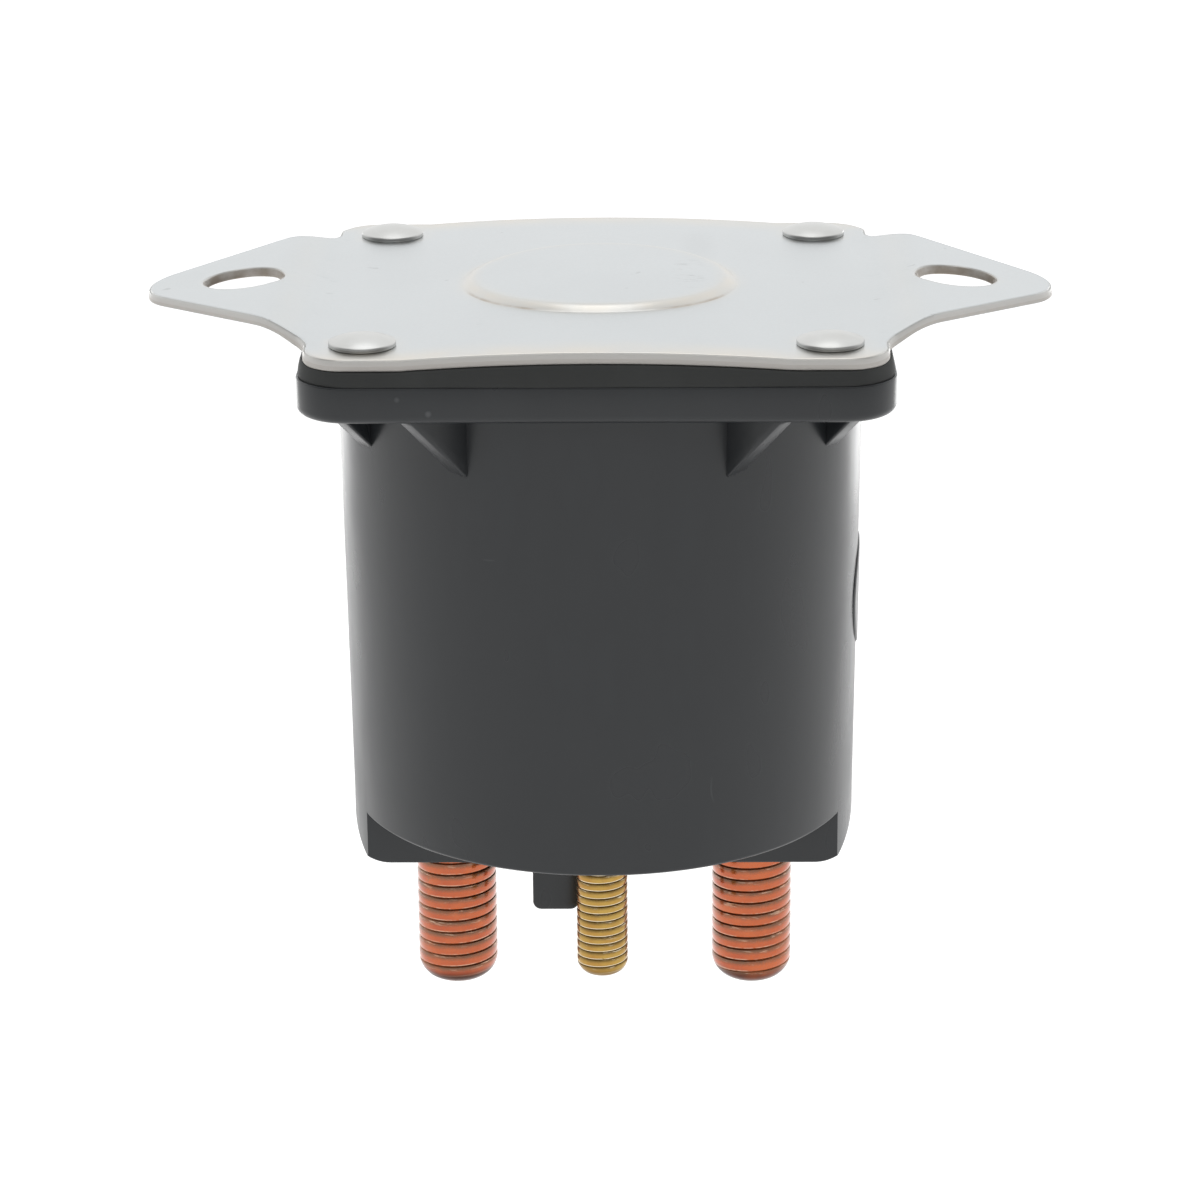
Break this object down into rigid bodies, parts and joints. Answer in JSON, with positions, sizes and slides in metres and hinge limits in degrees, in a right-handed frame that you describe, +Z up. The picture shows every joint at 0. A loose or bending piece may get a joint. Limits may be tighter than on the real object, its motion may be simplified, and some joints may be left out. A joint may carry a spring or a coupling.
{
  "type": "starter solenoid",
  "caption": "Starter solenoid: black round housing hung from a two-eared steel bracket, with copper main studs and brass control studs pointing down.",
  "frame": {"origin": "midway between the two ear holes of the bracket, level with the top of the bracket at its middle", "axes": "+X along the two ears, +Z up through the bracket, so the studs point to -Z; the picture looks along +Y"},
  "size_m": [0.0868, 0.0546, 0.0736],
  "materials": {
    "black_plastic": "semi-gloss moulded plastic",
    "stainless_sheet": "satin stamped stainless sheet",
    "gasket_rubber": "dull black rubber",
    "rivet_steel": "bright headed rivet",
    "copper": "bare copper",
    "brass": "bare brass",
    "seal_rubber": "black rubber",
    "enamelled_copper": "glossy enamelled wire",
    "nylon": "natural nylon",
    "coil_tape": "polyester tape",
    "plated_steel": "zinc plated steel",
    "rod_steel": "ground stainless steel",
    "spring_steel": "drawn spring wire",
    "phenolic": "moulded phenolic"
  },
  "bodies": {
    "base": {"housing": "black_plastic", "mounting_bracket": "stainless_sheet", "flange_gasket": "gasket_rubber", "bracket_rivets": "rivet_steel", "main_stud_left": "copper", "main_stud_right": "copper", "control_stud_front": "brass", "control_stud_rear": "brass", "main_stud_seals": "seal_rubber", "control_stud_seals": "seal_rubber", "lead_lugs": "brass", "coil_lead_front": "enamelled_copper", "coil_lead_rear": "enamelled_copper", "bobbin": "nylon", "coil_winding": "enamelled_copper", "coil_tape": "coil_tape", "yoke_can": "plated_steel", "flux_plate": "plated_steel", "pole_piece": "plated_steel", "guide_sleeve": "brass", "clamp_ring": "seal_rubber", "stop_bumper": "seal_rubber", "return_spring": "spring_steel"},
    "armature": {"plunger": "plated_steel", "plunger_rod": "rod_steel", "spring_seat": "rod_steel", "retaining_clip": "spring_steel", "contact_spring": "spring_steel"},
    "contact_carrier": {"contact_disc": "copper", "carrier_bush": "phenolic", "carrier_washer": "rod_steel"}
  },
  "joints": [
    {"name": "plunger_travel", "type": "slide", "parent": "base", "child": "armature", "axis": [0, 0, -1], "range_m": [0, 0.0026], "stiffness_N_per_m": 450, "springref_m": -0.012, "deforming": ["return_spring"]},
    {"name": "contact_overtravel", "type": "slide", "parent": "armature", "child": "contact_carrier", "axis": [0, 0, 1], "range_m": [0, 0.00065], "deforming": ["contact_spring"]}
  ],
  "couplings": [
    {"joint": "contact_overtravel", "follows": "plunger_travel", "ratio": 0.25}
  ]
}
